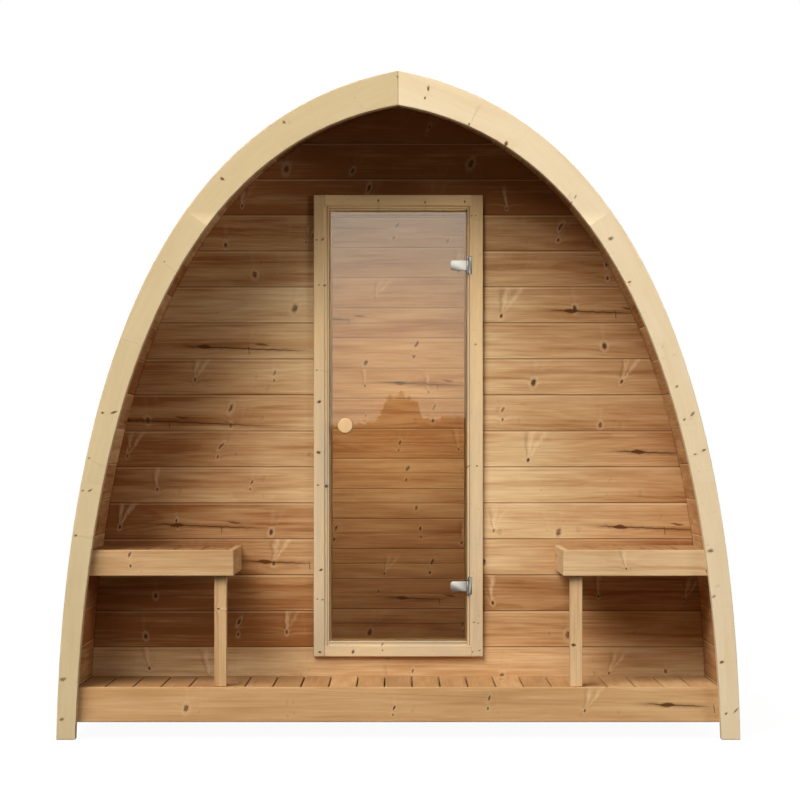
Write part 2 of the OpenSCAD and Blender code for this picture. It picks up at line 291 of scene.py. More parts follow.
def lay_grain(board, along, across, tone=None, check=None, shift=0):
    """Gives a board its own wood.

    grain holds each corner's place in the board: along it, across it and into it.
    timber holds its tone from 0 for pale to 1 for deep, half its width, and its number.
    check holds the place and the length of a drying crack, or a length of 0.
    A shift deepens the tone, by one number or by a number for each corner.
    """
    into = along.cross(across)
    place = corners(board) @ np.array([along, across, into]).T
    low, high = place.min(0), place.max(0)
    place[:, :2] -= (low[:2] + high[:2]) / 2
    place[:, 2] -= low[2]
    random_tone = min(max(draw.gauss(0.5, 0.18), 0), 1)
    number = draw.uniform(0, 60)
    if tone is None:
        tone = random_tone
    half = (high[1] - low[1]) / 2
    timber = np.tile((tone, half, number), (len(place), 1))
    timber[:, 0] += shift
    store(board, "grain", place)
    store(board, "timber", timber)
    store(board, "check", np.tile(check or (0, 0, 0), (len(place), 1)))
    return board


def finish_piece(piece, material, slot, *nodes, body="cabin"):
    """Dresses a finished piece and lets it stand for its CAD nodes."""
    piece.data.materials.clear()
    piece.data.materials.append(material)
    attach(piece, body)
    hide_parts(*nodes)
    return piece


# --- Wiring shaders ---------------------------------------------------------------------


class Wiring:
    """Adds shader nodes to a tree. Every value is a number, a tuple or another node's socket."""

    def __init__(self, tree):
        self.tree = tree

    def feed(self, value, socket):
        if isinstance(value, bpy.types.NodeSocket):
            self.tree.links.new(value, socket)
        else:
            socket.default_value = value

    def add(self, kind, settings=(), **inputs):
        node = self.tree.nodes.new(kind)
        for name, value in dict(settings).items():
            setattr(node, name, value)
        for name, value in inputs.items():
            self.feed(value, node.inputs[name.replace("_", " ")])
        return node

    def math(self, operation, *values, clamp=False):
        node = self.add("ShaderNodeMath", {"operation": operation, "use_clamp": clamp})
        for value, socket in zip(values, node.inputs):
            self.feed(value, socket)
        return node.outputs[0]

    def plus(self, *values):
        total = values[0]
        for value in values[1:]:
            total = self.math("ADD", total, value)
        return total

    def minus(self, a, b):
        return self.math("SUBTRACT", a, b)

    def times(self, *values):
        product = values[0]
        for value in values[1:]:
            product = self.math("MULTIPLY", product, value)
        return product

    def over(self, a, b):
        return self.math("DIVIDE", a, b)

    def size_of(self, value):
        return self.math("ABSOLUTE", value)

    def larger(self, a, b):
        return self.math("MAXIMUM", a, b)

    def spread(self, a, b):
        """The length of the vector (a, b)."""
        return self.math("SQRT", self.plus(self.times(a, a), self.times(b, b)))

    def rise(self, value, low, high):
        """0 below low and 1 above high, with a soft step between."""
        node = self.add("ShaderNodeMapRange", {"interpolation_type": "SMOOTHSTEP"}, Value=value)
        self.feed(low, node.inputs["From Min"])
        self.feed(high, node.inputs["From Max"])
        return node.outputs["Result"]

    def fall(self, value, low, high):
        return self.minus(1, self.rise(value, low, high))

    def split(self, vector):
        return self.add("ShaderNodeSeparateXYZ", Vector=vector).outputs

    def build(self, x, y, z):
        return self.add("ShaderNodeCombineXYZ", X=x, Y=y, Z=z).outputs[0]

    def noise(self, vector, detail=2, roughness=0.5):
        settings = {"noise_dimensions": "3D"}
        node = self.add("ShaderNodeTexNoise", settings, Vector=vector, Scale=1, Detail=detail)
        node.inputs["Roughness"].default_value = roughness
        return node.outputs[0]

    def stretched(self, lengthwise, crosswise, place, detail=2, roughness=0.5):
        """Noise drawn out along the first axis of the place."""
        along, across, into = place
        stretched = self.build(
            self.times(along, lengthwise), self.times(across, crosswise), self.times(into, crosswise)
        )
        return self.noise(stretched, detail, roughness)

    def centred(self, value):
        """A value from 0 to 1, moved to lie about 0."""
        return self.minus(value, 0.5)

    def dice(self, x, y):
        """Three random numbers that belong to the pair x, y."""
        node = self.add("ShaderNodeTexWhiteNoise", {"noise_dimensions": "3D"}, Vector=self.build(x, y, 0))
        return self.split(node.outputs["Color"])

    def blend(self, factor, a, b):
        node = self.add("ShaderNodeMix", {"data_type": "RGBA", "clamp_factor": True})
        self.feed(factor, node.inputs[0])
        self.feed(a, node.inputs[6])
        self.feed(b, node.inputs[7])
        return node.outputs[2]

    def mix(self, factor, a, b):
        """Shader a where the factor is 0 and shader b where it is 1."""
        node = self.add("ShaderNodeMixShader")
        for value, socket in zip((factor, a, b), node.inputs):
            self.feed(value, socket)
        return node.outputs[0]

    def attribute(self, name):
        return self.add("ShaderNodeAttribute", {"attribute_name": name}).outputs["Vector"]

    def place(self, group, **inputs):
        """Puts a node group in the tree."""
        return self.add("ShaderNodeGroup", {"node_tree": group}, **inputs).outputs


NUMBER = "NodeSocketFloat"
PLACE = "NodeSocketVector"
COLOUR = "NodeSocketColor"


def new_group(name, inputs, outputs):
    """An empty node group, its wiring, and the sockets for what it is given and what it makes."""
    tree = bpy.data.node_groups.new(name, "ShaderNodeTree")
    for label, kind in inputs:
        tree.interface.new_socket(name=label, in_out="INPUT", socket_type=kind)
    for label, kind in outputs:
        tree.interface.new_socket(name=label, in_out="OUTPUT", socket_type=kind)
    given = tree.nodes.new("NodeGroupInput").outputs
    made = tree.nodes.new("NodeGroupOutput").inputs
    return tree, Wiring(tree), given, made


def group_once(build):
    """Builds a node group the first time it is asked for."""

    def get():
        return bpy.data.node_groups.get(build.__name__) or build(build.__name__)

    return get


@group_once
def wood_grain(name):
    """Growth rings, streaks and fibres of a board sawn from a log."""
    tree, w, given, made = new_group(
        name,
        [("Grain", PLACE), ("Timber", PLACE), ("Push", NUMBER), ("Ring", NUMBER), ("Contrast", NUMBER),
         ("Pale", COLOUR), ("Middle", COLOUR), ("Deep", COLOUR)],
        [("Color", COLOUR), ("Fibre", NUMBER)],
    )
    along, across, into = w.split(given["Grain"])
    tone, _, number = w.split(given["Timber"])
    across = w.plus(across, given["Push"])
    # Each board is sawn from its own place in the log.
    luck = w.dice(number, 0.5)
    far = w.plus(along, w.times(number, 7.3))
    log = (far, across, into)
    # Rings around the heart of the log, which wanders along the board
    wander = w.centred(w.noise(w.build(w.times(far, 0.9), number, 0)))
    heart_across = w.plus(w.times(w.centred(luck[0]), 0.10), w.times(wander, 0.10))
    heart_depth = w.plus(w.times(luck[1], 0.06), 0.02, w.times(wander, 0.07))
    bend = w.stretched(2.5, 12, log)
    radius = w.spread(w.minus(across, heart_across), w.plus(into, heart_depth))
    turns = w.math("FRACT", w.over(w.plus(radius, w.times(bend, 0.02)), given["Ring"]))
    late_wood = w.times(w.rise(turns, 0.25, 0.9), w.fall(turns, 0.9, 1.0))
    # Figure, from the finest to the broadest
    fibre = w.stretched(16, 620, log)
    streak = w.stretched(4, 120, log, detail=4, roughness=0.6)
    band = w.stretched(1.5, 34, log, detail=1)
    blotch = w.stretched(3.2, 20, log, detail=3)
    cloud = w.stretched(1.3, 6, log)
    figure = w.plus(
        w.times(w.centred(streak), 1.2),
        w.times(late_wood, 0.16),
        w.times(w.centred(fibre), 0.4),
        w.times(w.centred(blotch), 1.3),
        w.times(w.centred(cloud), 0.9),
        w.times(w.rise(band, 0.5, 0.8), 0.5),
        -0.09,
    )
    depth = w.plus(tone, w.times(figure, given["Contrast"]))
    light_half = w.blend(w.times(depth, 2), given["Pale"], given["Middle"])
    w.feed(w.blend(w.minus(w.times(depth, 2), 1), light_half, given["Deep"]), made["Color"])
    w.feed(fibre, made["Fibre"])
    return tree


@group_once
def sawn_surface(name):
    """The fine ribs that planing leaves along the grain."""
    tree, w, given, made = new_group(name, [("Grain", PLACE)], [("Height", NUMBER)])
    ribs = w.stretched(9, 260, w.split(given["Grain"]), detail=1)
    w.feed(ribs, made["Height"])
    return tree


@group_once
def spike_knots(name):
    """Slanted branch knots, at most one in each length of Spacing.

    A third are one large eye. A third are two eyes, with the second above the first.
    The others are a small eye under a soft pale fan.
    """
    tree, w, given, made = new_group(
        name,
        [("Grain", PLACE), ("Timber", PLACE), ("Spacing", NUMBER), ("Size", NUMBER), ("Share", NUMBER)],
        [("Eye", NUMBER), ("Stain", NUMBER), ("Fan", NUMBER), ("Push", NUMBER)],
    )
    along, across, _ = w.split(given["Grain"])
    _, half, number = w.split(given["Timber"])
    # Each length of the board draws its own knot, or none.
    cells = w.plus(w.over(along, given["Spacing"]), number)
    cell = w.math("FLOOR", cells)
    luck = w.dice(cell, number)
    habit = w.dice(w.plus(cell, 31.7), number)
    here = w.math("LESS_THAN", luck[2], given["Share"])
    paired = w.math("LESS_THAN", habit[0], 0.33)
    fanned = w.math("GREATER_THAN", habit[0], 0.66)
    single = w.minus(1, w.plus(paired, fanned))
    size = w.times(given["Size"], w.plus(w.times(habit[2], 0.6), 0.7))
    # Places are taken from the low eye, along a branch that leans and sways.
    centre = w.plus(w.times(luck[0], 0.5), 0.25)
    side = w.times(w.minus(w.math("FRACT", cells), centre), given["Spacing"])
    height = w.plus(across, w.times(half, w.plus(w.times(luck[1], 0.55), 0.15)))
    lean = w.times(w.minus(habit[1], 0.3), 0.45)
    swaying = w.noise(w.build(w.times(along, 20), w.times(across, 28), number), 1)
    sway = w.times(w.centred(swaying), 0.022)
    slant = w.plus(w.minus(side, w.times(lean, height)), w.times(sway, w.rise(height, 0, 0.03)))
    # The eyes are ragged ellipses.
    ragged = w.noise(w.build(w.times(along, 110), w.times(across, 110), number))
    rough = w.times(w.centred(ragged), 0.9)
    grown = w.times(size, w.plus(w.times(single, 0.6), 0.85))
    low_eye = w.spread(w.over(slant, w.times(grown, 0.62)), w.over(height, w.times(grown, 0.95)))
    low_eye = w.plus(low_eye, rough)
    beyond = w.minus(height, w.times(size, w.plus(w.times(habit[2], 2.5), 4)))
    tilted = w.minus(slant, w.times(beyond, 0.25))
    high_eye = w.spread(w.over(tilted, w.times(size, 0.62)), w.over(beyond, w.times(size, 1.35)))
    high_eye = w.plus(w.plus(high_eye, rough), w.times(w.minus(1, paired), 9))
    nearest = w.math("MINIMUM", low_eye, high_eye)
    # The fan has two arms, a shadow beside the left one, and fine streaks.
    arm = w.plus(w.times(height, 0.12), w.times(size, 0.4))
    left_arm = w.fall(w.over(w.size_of(slant), arm), 0.0, 1.3)
    right_arm = w.fall(w.over(w.size_of(w.minus(slant, w.times(height, 0.5))), arm), 0.0, 1.3)
    right_arm = w.times(right_arm, w.rise(habit[1], 0.3, 0.6))
    shadow = w.fall(w.over(w.size_of(w.plus(slant, w.times(arm, 1.5))), arm), 0.1, 0.9)
    tall = w.times(w.rise(height, 0, w.times(size, 2)), w.fall(height, w.times(size, 8), w.times(size, 16)))
    tall = w.times(tall, w.plus(w.times(fanned, 0.85), 0.15))
    streaks = w.rise(w.noise(w.build(w.times(side, 130), w.times(height, 30), number), 2), 0.1, 0.7)
    arms = w.times(w.larger(left_arm, right_arm), tall, streaks)
    halo = w.times(w.fall(nearest, 1.1, 2.8), 0.7)
    stain = w.larger(w.fall(nearest, 0.9, 2.0), w.times(shadow, tall, 0.6))
    w.feed(w.times(w.fall(nearest, 0.75, 1.15), here), made["Eye"])
    w.feed(w.times(stain, here), made["Stain"])
    w.feed(w.times(w.larger(arms, halo), here), made["Fan"])
    # The rings part around the knot.
    bulge = w.times(w.fall(w.size_of(slant), 0, 0.03), w.fall(w.size_of(height), 0, 0.045))
    w.feed(w.times(bulge, size, here), made["Push"])
    return tree


@group_once
def drying_crack(name):
    """A long thin crack that opens in a lens, is crossed by a short branch and has a dash above it."""
    tree, w, given, made = new_group(
        name, [("Grain", PLACE), ("Check", PLACE)], [("Gap", NUMBER), ("Stain", NUMBER)]
    )
    along, across, _ = w.split(given["Grain"])
    at, up, length = w.split(given["Check"])
    here = w.rise(length, 0, 0.001)
    side = w.minus(along, at)
    # The crack waves and sags along the board.
    wave = w.times(w.centred(w.noise(w.build(w.times(along, 26), up, 3))), 0.010)
    sag = w.times(side, 0.04)
    height = w.plus(w.minus(across, up), wave, sag)
    apart = w.size_of(height)
    lens = w.times(w.fall(w.size_of(side), 0, 0.042), 0.0085)
    line = w.times(w.rise(side, -0.1, -0.03), w.fall(side, w.times(length, 0.5), length), 0.0019)
    opening = w.larger(w.larger(lens, line), 0.0002)
    gap = w.fall(w.over(apart, opening), 0.6, 1.3)
    branch_side = w.minus(side, w.plus(0.166, w.times(height, -0.12)))
    branch = w.times(
        w.fall(w.size_of(branch_side), 0.001, 0.0026),
        w.rise(height, -0.026, -0.018),
        w.fall(height, 0.004, 0.009),
    )
    dash_side = w.minus(side, 0.215)
    dash_height = w.size_of(w.plus(height, -0.018, w.times(dash_side, 0.08)))
    dash = w.times(w.fall(w.size_of(dash_side), 0.004, 0.034), 0.0048)
    dash = w.fall(w.over(dash_height, w.larger(dash, 0.0002)), 0.5, 1.2)
    reach = w.times(w.rise(side, -0.16, -0.04), w.fall(side, w.times(length, 0.6), w.times(length, 1.1)))
    stain = w.times(w.fall(apart, 0.001, 0.014), reach)
    gap = w.larger(gap, w.larger(w.times(branch, 0.75), w.times(dash, 0.8)))
    w.feed(w.times(gap, here), made["Gap"])
    w.feed(w.times(stain, here), made["Stain"])
    return tree


@group_once
def board_edge(name):
    """A dark line along both joints of a board, painted shade and dirt in the joint, and a pale painted
    highlight beside its upper bevel.
    """
    tree, w, given, made = new_group(
        name,
        [("Grain", PLACE), ("Timber", PLACE), ("Reach", NUMBER)],
        [("Shade", NUMBER), ("PaintedHighlight", NUMBER)],
    )
    _, across, _ = w.split(given["Grain"])
    _, half, _ = w.split(given["Timber"])
    from_edge = w.minus(half, w.size_of(across))
    from_top = w.minus(half, across)
    reach = given["Reach"]
    w.feed(w.fall(from_edge, w.times(reach, 0.4), reach), made["Shade"])
    painted_highlight = w.times(
        w.rise(from_top, w.times(reach, 0.7), w.times(reach, 1.3)),
        w.fall(from_top, w.times(reach, 2), w.times(reach, 4)),
    )
    w.feed(painted_highlight, made["PaintedHighlight"])
    return tree


# --- Finishes ---------------------------------------------------------------------------


def new_material(name):
    """An empty material, its wiring and its Principled BSDF."""
    material = bpy.data.materials.new(name)
    material.use_nodes = True
    surface = material.node_tree.nodes["Principled BSDF"]
    return material, Wiring(material.node_tree), surface


def middle_tone(pale, deep):
    """Halfway from pale to deep, and a little redder."""
    return [redder * (a + b) / 2 for redder, a, b in zip((1.02, 0.95, 0.86), pale, deep)]


def timber_finish(
    name, pale, deep, *, ring, contrast, spacing, knot, share, fan, roughness, bump, joint=0, step_shadow=0
):
    """A planed timber finish, built the first time it is asked for.

    ring is the width of a growth ring and contrast the strength of the figure. A share of all lengths
    of this spacing hold a knot of about this size, and fan is the strength of the pale fans. bump is
    the height of the ribs, and joint the reach of the dark joints between boards, painted shade and
    dirt, and of the painted highlight beside them. A seam is a painted shadow line so far in from the
    upper edge, where the face steps back. joint and seam are 0 where there are none.
    """
    if name in bpy.data.materials:
        return bpy.data.materials[name]
    material, w, surface = new_material(name)
    grain = w.attribute("grain")
    timber = w.attribute("timber")
    knots = w.place(spike_knots(), Grain=grain, Timber=timber, Spacing=spacing, Size=knot, Share=share)
    wood = w.place(
        wood_grain(),
        Grain=grain,
        Timber=timber,
        Push=knots["Push"],
        Ring=ring,
        Contrast=contrast,
        Pale=(*pale, 1),
        Middle=(*middle_tone(pale, deep), 1),
        Deep=(*deep, 1),
    )
    crack = w.place(drying_crack(), Grain=grain, Check=w.attribute("check"))
    dark = (*colours().knot, 1)
    colour = w.blend(w.times(knots["Fan"], fan), wood["Color"], (*colours().resin, 1))
    colour = w.blend(w.times(knots["Stain"], 0.45), colour, (*(0.6 * value for value in deep), 1))
    colour = w.blend(w.times(crack["Stain"], 0.5), colour, (*(0.5 * value for value in deep), 1))
    # Painted shade and dirt in each joint, and a painted highlight below it where the upper bevel would
    # catch light
    if joint:
        edge = w.place(board_edge(), Grain=grain, Timber=timber, Reach=joint)
        colour = w.blend(w.times(edge["PaintedHighlight"], 0.35), colour, (*colours().resin, 1))
        colour = w.blend(w.times(edge["Shade"], 0.75), colour, dark)
    # A painted shadow line where the frame's face steps back
    if step_shadow:
        _, across, _ = w.split(grain)
        _, half, _ = w.split(timber)
        inward = w.size_of(w.minus(w.minus(half, across), step_shadow))
        colour = w.blend(w.times(w.fall(inward, 0.0006, 0.0022), 0.7), colour, dark)
    hollow = w.larger(knots["Eye"], crack["Gap"])
    colour = w.blend(w.times(hollow, 0.92), colour, dark)
    w.feed(colour, surface.inputs["Base Color"])
    w.feed(w.plus(roughness, w.times(wood["Fibre"], 0.12)), surface.inputs["Roughness"])
    ribs = w.place(sawn_surface(), Grain=grain)["Height"]
    relief = w.add("ShaderNodeBump", Height=ribs, Distance=bump, Strength=0.6)
    w.feed(relief.outputs[0], surface.inputs["Normal"])
    surface.inputs["Specular IOR Level"].default_value = 0.04
    return material


def arch_timber():
    c = colours()
    return timber_finish(
        "arch_timber", c.arch_pale, c.arch_deep,
        ring=0.006, contrast=0.23, spacing=0.14, knot=0.0055, share=0.66, fan=0.12,
        roughness=0.62, bump=0.0003,
    )


def wall_timber():
    c = colours()
    return timber_finish(
        "wall_timber", c.wall_pale, c.wall_deep,
        ring=0.008, contrast=0.64, spacing=0.34, knot=0.0078, share=0.85, fan=0.55,
        roughness=0.58, bump=0.0004, joint=0.0020,
    )


def deck_timber():
    c = colours()
    return timber_finish(
        "deck_timber", c.deck_pale, c.deck_deep,
        ring=0.007, contrast=0.6, spacing=0.38, knot=0.0070, share=0.75, fan=0.45,
        roughness=0.58, bump=0.0004,
    )


def bench_timber():
    c = colours()
    return timber_finish(
        "bench_timber", c.bench_pale, c.bench_deep,
        ring=0.007, contrast=0.45, spacing=0.4, knot=0.006, share=0.7, fan=0.4,
        roughness=0.55, bump=0.0003,
    )


def frame_timber():
    c = colours()
    return timber_finish(
        "frame_timber", c.frame_pale, c.frame_deep,
        ring=0.005, contrast=0.40, spacing=0.15, knot=0.0044, share=0.7, fan=0.15,
        roughness=0.5, bump=0.0002, step_shadow=0.017,
    )


def turned_timber():
    c = colours()
    return timber_finish(
        "turned_timber", c.knob_pale, c.knob_deep,
        ring=0.004, contrast=0.4, spacing=1, knot=0.002, share=0, fan=0,
        roughness=0.5, bump=0.0001,
    )


def tinted_glass():
    material, _, surface = new_material("bronze_glass")
    surface.inputs["Base Color"].default_value = (*colours().glass, 1)
    surface.inputs["Transmission Weight"].default_value = 1
    surface.inputs["Metallic"].default_value = 0
    surface.inputs["Roughness"].default_value = 0.004
    surface.inputs["IOR"].default_value = 1.6
    surface.inputs["Specular IOR Level"].default_value = 1.0
    return material


def satin_chrome(name, colour):
    """Chrome brushed from side to side."""
    material, w, surface = new_material(name)
    brushed = w.stretched(90, 3000, w.split(w.add("ShaderNodeTexCoord").outputs["Object"]))
    w.feed((*colour, 1), surface.inputs["Base Color"])
    w.feed(w.plus(0.22, w.times(brushed, 0.2)), surface.inputs["Roughness"])
    relief = w.add("ShaderNodeBump", Height=brushed, Distance=0.00005, Strength=0.4)
    w.feed(relief.outputs[0], surface.inputs["Normal"])
    surface.inputs["Metallic"].default_value = 1
    return material


# --- Arches and shell -------------------------------------------------------------------


def outline(piece):
    """The corners of the piece's front face, in order round it."""
    front = min(piece.data.polygons, key=lambda face: (face.center.y, -face.area))
    return [piece.data.vertices[index].co.copy() for index in front.vertices]


def outer_edge(piece, side):
    """The corners of an arch's outer edge, from the foot to the ridge."""
    points = outline(piece)
    # Height counts ten times as much as width, so this is the foot's outer corner.
    foot = max(range(len(points)), key=lambda i: side * points[i].x - 10 * points[i].z)
    points = points[foot:] + points[:foot]
    if points[1].z < points[-1].z:
        points = [points[0]] + points[:0:-1]
    ridge = max(range(len(points)), key=lambda i: points[i].z)
    return points[: ridge + 1]


# Straight-grained lengths in half an arch, and how deep the wood of each side is
ARCH_LENGTHS = 6
ARCH_TONES = {-1: 0.9, 1: 0.42}
# How much deeper than usual the shell's boards are on each side
SHELL_SHIFTS = {-1: 0.16, 1: 0.1}
# Share of boards with a drying crack
CRACKED = {"shell": 0.18, "rear_wall": 0.2}


def build_arch(node, side):
    """Half an arch, planed at the edges and jointed from straight-grained lengths."""
    whole = copy_of(frame["nodes"][node])
    edge = outer_edge(whole, side)
    soften(whole, sizes().edge, 2)
    stops = [round(i * (len(edge) - 1) / ARCH_LENGTHS) for i in range(ARCH_LENGTHS + 1)]
    parts = []
    for low, high in zip(stops, stops[1:]):
        planes = []
        if low > 0:
            square = (edge[low + 1] - edge[low - 1]).normalized()
            planes.append((edge[low], square))
        if high < len(edge) - 1:
            square = (edge[high - 1] - edge[high + 1]).normalized()
            planes.append((edge[high], square))
        part = cut_between(whole, *planes)
        soften(part, sizes().arch_joint, angle=BUTT)
        along = (edge[high] - edge[low]).normalized()
        parts.append(lay_grain(part, along, Y.cross(along), tone=draw.gauss(ARCH_TONES[side], 0.025)))
    remove(whole)
    piece = joined(parts, f"{node}_timber")
    smooth(piece)
    return finish_piece(piece, arch_timber(), "arch_spruce", node)


def board_ends(piece, side):
    """Pairs of outer and inner corners, one pair for each joint, counted up from the foot."""
    points = outline(piece)
    pairs = []
    for point in points:
        others = [other for other in points if other is not point]
        partner = min(others, key=lambda other: (other - point).length)
        if side * point.x + point.z > side * partner.x + partner.z:
            pairs.append((point, partner))
    return sorted(pairs, key=lambda pair: pair[0].z)


def build_shell(node, side):
    """The long boards of one stretch of the shell, with beveled joints."""
    whole = copy_of(frame["nodes"][node])
    boards = []
    ends = board_ends(whole, side)
    for (low_out, low_in), (high_out, high_in) in zip(ends, ends[1:]):
        up = (high_out - low_out).normalized()
        low_square = Y.cross(low_out - low_in).normalized()
        high_square = Y.cross(high_out - high_in).normalized()
        low_square *= math.copysign(1, low_square.dot(up))
        high_square *= -math.copysign(1, high_square.dot(up))
        board = cut_between(whole, (low_out, low_square), (high_out, high_square))
        soften(board, sizes().joint_bevel)
        check = random_check(board, Y, CRACKED["shell"])
        boards.append(lay_grain(board, Y, up, check=check, shift=SHELL_SHIFTS[side]))
    remove(whole)
    return finish_piece(joined(boards, f"{node}_boards"), wall_timber(), "shell_boards", node)


def random_check(board, along, chance):
    """Now and then a drying crack somewhere along the board."""
    reach = np.ptp(corners(board) @ np.array(along)) / 2
    lucky = draw.random() < chance
    place = draw.uniform(-0.7, 0.7) * reach
    length = draw.uniform(0.18, 0.34)
    height = draw.uniform(-0.03, 0.03)
    return (place, height, length if lucky and reach > length else 0)


class CABIN_OT_arches(bpy.types.Operator):
    """Plane and joint the four half arches"""

    bl_idname = "cabin.arches"
    bl_label = "Arches"

    def execute(self, context):
        for end in ("front", "rear"):
            for name, side in SIDES.items():
                build_arch(f"{end}_arch_{name}", side)
        return {"FINISHED"}


class CABIN_OT_shell(bpy.types.Operator):
    """Lay the long boards of the shell"""

    bl_idname = "cabin.shell"
    bl_label = "Shell boards"

    def execute(self, context):
        for name, side in SIDES.items():
            for stretch in STRETCHES:
                build_shell(f"shell_{name}_{stretch}", side)
        return {"FINISHED"}


# --- Walls ------------------------------------------------------------------------------


def level_rows(start, low, high):
    """The heights between which the boards of a wall lie."""
    cover = sizes().wall_board
    joints = [start]
    while joints[-1] < high:
        joints.append(joints[-1] + cover)
    rows = zip([low, *joints], [*joints, high])
    return [(bottom, top) for bottom, top in rows if bottom < top <= high + cover]


STICK_OUT = 0.05


def cut_doorway(wall):
    """Cuts the door frame's opening out of a wall, with a box that sticks out of both faces."""
    low, high = DOORWAY
    bpy.ops.object.select_all(action="DESELECT")
    bpy.ops.mesh.primitive_cube_add(size=1, location=(low + high) / 2)
    opening = bpy.context.object
    size = high - low
    opening.scale = (size.x, size.y + 2 * STICK_OUT, size.z)
    bpy.ops.object.transform_apply(location=True, rotation=True, scale=True)
    pick(wall)
    bpy.ops.object.modifier_add(type="BOOLEAN")
    cut = wall.modifiers[-1]
    cut.object = opening
    cut.operation = "DIFFERENCE"
    bpy.ops.object.modifier_apply(modifier=cut.name)
    remove(opening)


# The cracks in the front wall: place across the cabin, height above the ground and length
FRONT_CRACKS = {
    "left": ((-0.727, 1.416, 0.45), (-1.026, 1.142, 0.62), (-0.83, 0.748, 0.36), (-0.50, 0.610, 0.20)),
    "right": ((0.648, 1.551, 0.27), (0.832, 0.741, 0.32), (0.90, 1.022, 0.18)),
}

# How deep each board of the front wall is, counted up from the floor, and how deep the others are.
# Besides each board's own tone, they hold painted shade and light, the left side deeper as painted
# shade of the left arch.
FRONT_TONES = {
    "left": (0.70, 1.00, 0.85, 0.84, 0.77, 0.62, 0.71, 0.67, 0.57, 0.46, 0.43, 0.66, 0.85),
    "right": (0.37, 0.54, 0.84, 0.60, 0.33, 0.28, 0.46, 0.50, 0.51, 0.51, 0.53, 0.69, 0.90),
    "under_door": (0.35,),
}
OTHER_FRONT_TONE = 1.0

# The same for the rear wall
REAR_TONES = (0.50, 0.60, 0.55, 0.50, 0.35, 0.30, 0.55, 0.40, 0.30, 0.32, 0.38, 0.42, 0.50, 0.45)
OTHER_REAR_TONE = 0.5

# Beside the door and above the benches' lower edge, boards deepen towards the shell by this much in each
# metre, as painted shade in the porch's outer corners, and have their own tone at HALF_WAY from the axis.
PAINTED_SHADE_SLOPE = 0.7
HALF_WAY = 0.7


def front_crack(place, board):
    """The crack that a front wall's board has: its place along and across the board, and its length."""
    centre = middle(board)
    for x, height, length in FRONT_CRACKS.get(place, ()):
        if abs(height - centre.z) < sizes().wall_board / 2:
            return (x - centre.x, height - centre.z, length)
    return None


def wall_piece(board):
    """Which piece of the front wall a board belongs to."""
    centre = middle(board)
    if DOORWAY[0].x < centre.x < DOORWAY[1].x:
        return "over_door" if centre.z > (DOORWAY[0].z + DOORWAY[1].z) / 2 else "under_door"
    return "left" if centre.x < 0 else "right"


def listed(tones, number, other):
    """The tone with this number, or the other one where the list is too short."""
    return tones[number] if number < len(tones) else other


def weathering(place, board):
    """How much deeper each corner of a front board is than the board's own tone, as painted shade towards
    the shell.
    """
    if place in SIDES and middle(board).z > BENCH_FOOT:
        return PAINTED_SHADE_SLOPE * (np.abs(corners(board)[:, 0]) - HALF_WAY)
    return 0


class CABIN_OT_front_wall(bpy.types.Operator):
    """Lay the level boards of the front wall around the doorway"""

    bl_idname = "cabin.front_wall"
    bl_label = "Front wall"

    def execute(self, context):
        wall = copy_of(frame["nodes"]["rear_wall"])
        shift = WALL_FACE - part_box("rear_wall")[0].y
        with editing(wall):
            bpy.ops.transform.translate(value=(0, shift, 0))
        cut_doorway(wall)
        low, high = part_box("rear_wall")
        groups = {"left": [], "right": [], "over_door": [], "under_door": []}
        rows = level_rows(FLOOR + sizes().front_start, low.z, high.z)
        for number, (bottom, top) in enumerate(rows):
            row = cut_between(wall, (Z * bottom, Z), (Z * top, -Z))
            if row is None:
                continue
            for board in loose_parts(row):
                soften(board, sizes().joint_bevel)
                place = wall_piece(board)
                tone = listed(FRONT_TONES.get(place, ()), number, OTHER_FRONT_TONE)
                check = front_crack(place, board)
                lay_grain(board, X, Z, tone, check, weathering(place, board))
                groups[place].append(board)
        remove(wall)
        for place, boards in groups.items():
            piece = joined(boards, f"front_wall_{place}_boards")
            finish_piece(piece, wall_timber(), "wall_boards", f"front_wall_{place}")
        return {"FINISHED"}


class CABIN_OT_rear_wall(bpy.types.Operator):
    """Lay the level boards of the rear wall, each with a groove along its inner face"""

    bl_idname = "cabin.rear_wall"
    bl_label = "Rear wall"

    def execute(self, context):
        wall = frame["nodes"]["rear_wall"]
        low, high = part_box("rear_wall")
        boards = []
        rows = level_rows(FLOOR + sizes().rear_start, low.z, high.z)
        for number, (bottom, top) in enumerate(rows):
            row = cut_between(wall, (Z * bottom, Z), (Z * top, -Z))
            if row is None:
                continue
            cut_groove(row, (max(bottom, FLOOR) + min(top, high.z)) / 2, low.y)
            soften(row, sizes().joint_bevel)
            tone = listed(REAR_TONES, number, OTHER_REAR_TONE)
            check = random_check(row, X, CRACKED["rear_wall"])
            boards.append(lay_grain(row, X, Z, tone=tone, check=check))
        finish_piece(joined(boards, "rear_wall_boards"), wall_timber(), "wall_boards", "rear_wall")
        skirt = copy_of(frame["nodes"]["rear_skirt"])
        soften(skirt, sizes().joint_bevel)
        lay_grain(skirt, X, Z)
        finish_piece(rename(skirt, "rear_skirt_board"), wall_timber(), "wall_boards", "rear_skirt")
        return {"FINISHED"}


def cut_groove(board, height, face):
    """Presses a V groove into the board's inner face, at a height."""
    half = sizes().groove
    with editing(board):
        for level in (height - half, height, height + half):
            bpy.ops.mesh.select_all(action="SELECT")
            bpy.ops.mesh.bisect(plane_co=(0, 0, level), plane_no=(0, 0, 1))
        bpy.ops.mesh.select_all(action="DESELECT")
    for vertex in board.data.vertices:
        vertex.select = abs(vertex.co.y - face) < MERGE and abs(vertex.co.z - height) < MERGE
    with_selection(board, lambda: bpy.ops.transform.translate(value=(0, half, 0)))


def with_selection(piece, action):
    """Opens the piece in edit mode, keeps the vertices that code has selected, and acts on them."""
    pick(piece)
    bpy.ops.object.mode_set(mode="EDIT")
    action()
    bpy.ops.object.mode_set(mode="OBJECT")


# --- Floors -----------------------------------------------------------------------------


